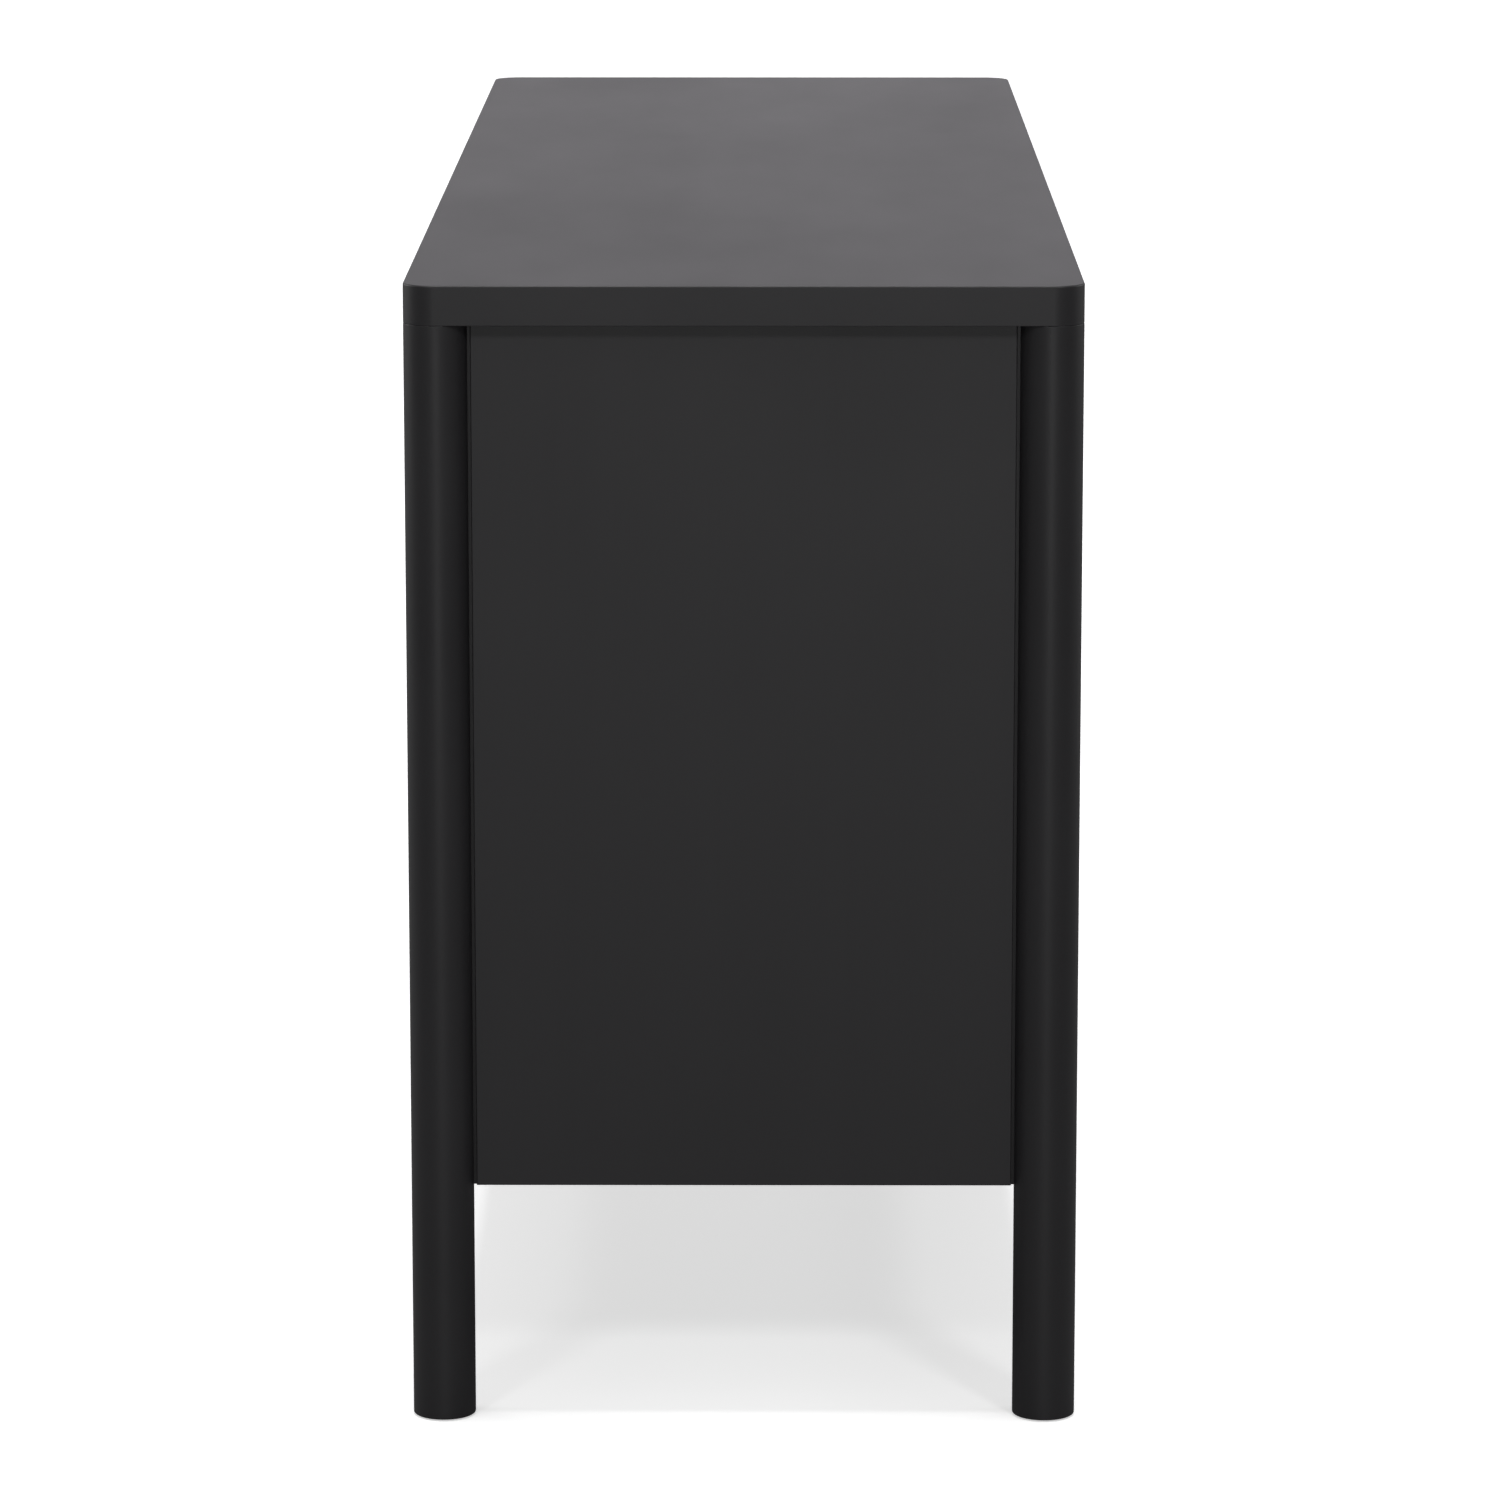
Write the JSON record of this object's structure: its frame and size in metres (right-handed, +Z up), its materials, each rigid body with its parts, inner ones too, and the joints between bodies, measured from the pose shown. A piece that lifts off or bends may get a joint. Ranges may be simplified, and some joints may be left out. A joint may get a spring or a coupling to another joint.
{
  "type": "dresser with drawers",
  "caption": "Long low dresser with rounded slab top, full-height round posts as legs, set-back end panels, handle-less bevelled drawer fronts on telescopic runners.",
  "frame": {"origin": "on the floor, at the middle of the dresser's footprint", "axes": "+X along the length, -Y towards the drawer fronts, +Z up"},
  "size_m": [1.524, 0.457, 0.787],
  "materials": {
    "lacquered_wood": "satin black lacquer",
    "back_board": "matt black-faced fibreboard",
    "birch": "clear satin lacquer",
    "plywood": "sanded birch plywood",
    "zinc_steel": "bright zinc plating",
    "screw_steel": "zinc-plated screw",
    "nylon": "matt black nylon"
  },
  "bodies": {
    "case": {"top_slab": "lacquered_wood", "post_front_left": "lacquered_wood", "post_front_right": "lacquered_wood", "post_back_left": "lacquered_wood", "post_back_right": "lacquered_wood", "side_panel_left": "lacquered_wood", "side_panel_right": "lacquered_wood", "center_divider": "lacquered_wood", "bottom_panel": "lacquered_wood", "front_rails": "lacquered_wood", "back_rails": "birch", "back_panels": "back_board", "runner_cleats": "birch", "case_runners": "zinc_steel", "foot_glides": "nylon", "post_dowels": "birch", "top_brackets": "zinc_steel", "bracket_screws": "screw_steel"},
    "drawer_top_left": {"drawer_top_left_front": "lacquered_wood", "drawer_top_left_box_ends": "birch", "drawer_top_left_box_sides": "birch", "drawer_top_left_box_bottom": "plywood", "drawer_top_left_front_screws": "screw_steel", "drawer_top_left_runners": "zinc_steel"},
    "drawer_top_left_middle_members": {"drawer_top_left_runner_middles": "zinc_steel"},
    "drawer_middle_left": {"drawer_middle_left_front": "lacquered_wood", "drawer_middle_left_box_ends": "birch", "drawer_middle_left_box_sides": "birch", "drawer_middle_left_box_bottom": "plywood", "drawer_middle_left_front_screws": "screw_steel", "drawer_middle_left_runners": "zinc_steel"},
    "drawer_middle_left_middle_members": {"drawer_middle_left_runner_middles": "zinc_steel"},
    "drawer_bottom_left": {"drawer_bottom_left_front": "lacquered_wood", "drawer_bottom_left_box_ends": "birch", "drawer_bottom_left_box_sides": "birch", "drawer_bottom_left_box_bottom": "plywood", "drawer_bottom_left_front_screws": "screw_steel", "drawer_bottom_left_runners": "zinc_steel"},
    "drawer_bottom_left_middle_members": {"drawer_bottom_left_runner_middles": "zinc_steel"},
    "drawer_top_right": {"drawer_top_right_front": "lacquered_wood", "drawer_top_right_box_ends": "birch", "drawer_top_right_box_sides": "birch", "drawer_top_right_box_bottom": "plywood", "drawer_top_right_front_screws": "screw_steel", "drawer_top_right_runners": "zinc_steel"},
    "drawer_top_right_middle_members": {"drawer_top_right_runner_middles": "zinc_steel"},
    "drawer_middle_right": {"drawer_middle_right_front": "lacquered_wood", "drawer_middle_right_box_ends": "birch", "drawer_middle_right_box_sides": "birch", "drawer_middle_right_box_bottom": "plywood", "drawer_middle_right_front_screws": "screw_steel", "drawer_middle_right_runners": "zinc_steel"},
    "drawer_middle_right_middle_members": {"drawer_middle_right_runner_middles": "zinc_steel"},
    "drawer_bottom_right": {"drawer_bottom_right_front": "lacquered_wood", "drawer_bottom_right_box_ends": "birch", "drawer_bottom_right_box_sides": "birch", "drawer_bottom_right_box_bottom": "plywood", "drawer_bottom_right_front_screws": "screw_steel", "drawer_bottom_right_runners": "zinc_steel"},
    "drawer_bottom_right_middle_members": {"drawer_bottom_right_runner_middles": "zinc_steel"}
  },
  "joints": [
    {"name": "drawer_top_left_slide", "type": "slide", "parent": "case", "child": "drawer_top_left", "axis": [0, -1, 0], "range_m": [0, 0.35]},
    {"name": "drawer_top_left_middle_slide", "type": "slide", "parent": "case", "child": "drawer_top_left_middle_members", "axis": [0, -1, 0], "range_m": [0, 0.175]},
    {"name": "drawer_middle_left_slide", "type": "slide", "parent": "case", "child": "drawer_middle_left", "axis": [0, -1, 0], "range_m": [0, 0.35]},
    {"name": "drawer_middle_left_middle_slide", "type": "slide", "parent": "case", "child": "drawer_middle_left_middle_members", "axis": [0, -1, 0], "range_m": [0, 0.175]},
    {"name": "drawer_bottom_left_slide", "type": "slide", "parent": "case", "child": "drawer_bottom_left", "axis": [0, -1, 0], "range_m": [0, 0.35]},
    {"name": "drawer_bottom_left_middle_slide", "type": "slide", "parent": "case", "child": "drawer_bottom_left_middle_members", "axis": [0, -1, 0], "range_m": [0, 0.175]},
    {"name": "drawer_top_right_slide", "type": "slide", "parent": "case", "child": "drawer_top_right", "axis": [0, -1, 0], "range_m": [0, 0.35]},
    {"name": "drawer_top_right_middle_slide", "type": "slide", "parent": "case", "child": "drawer_top_right_middle_members", "axis": [0, -1, 0], "range_m": [0, 0.175]},
    {"name": "drawer_middle_right_slide", "type": "slide", "parent": "case", "child": "drawer_middle_right", "axis": [0, -1, 0], "range_m": [0, 0.35]},
    {"name": "drawer_middle_right_middle_slide", "type": "slide", "parent": "case", "child": "drawer_middle_right_middle_members", "axis": [0, -1, 0], "range_m": [0, 0.175]},
    {"name": "drawer_bottom_right_slide", "type": "slide", "parent": "case", "child": "drawer_bottom_right", "axis": [0, -1, 0], "range_m": [0, 0.35]},
    {"name": "drawer_bottom_right_middle_slide", "type": "slide", "parent": "case", "child": "drawer_bottom_right_middle_members", "axis": [0, -1, 0], "range_m": [0, 0.175]}
  ],
  "couplings": [
    {"joint": "drawer_top_left_middle_slide", "follows": "drawer_top_left_slide", "ratio": 0.5},
    {"joint": "drawer_middle_left_middle_slide", "follows": "drawer_middle_left_slide", "ratio": 0.5},
    {"joint": "drawer_bottom_left_middle_slide", "follows": "drawer_bottom_left_slide", "ratio": 0.5},
    {"joint": "drawer_top_right_middle_slide", "follows": "drawer_top_right_slide", "ratio": 0.5},
    {"joint": "drawer_middle_right_middle_slide", "follows": "drawer_middle_right_slide", "ratio": 0.5},
    {"joint": "drawer_bottom_right_middle_slide", "follows": "drawer_bottom_right_slide", "ratio": 0.5}
  ]
}
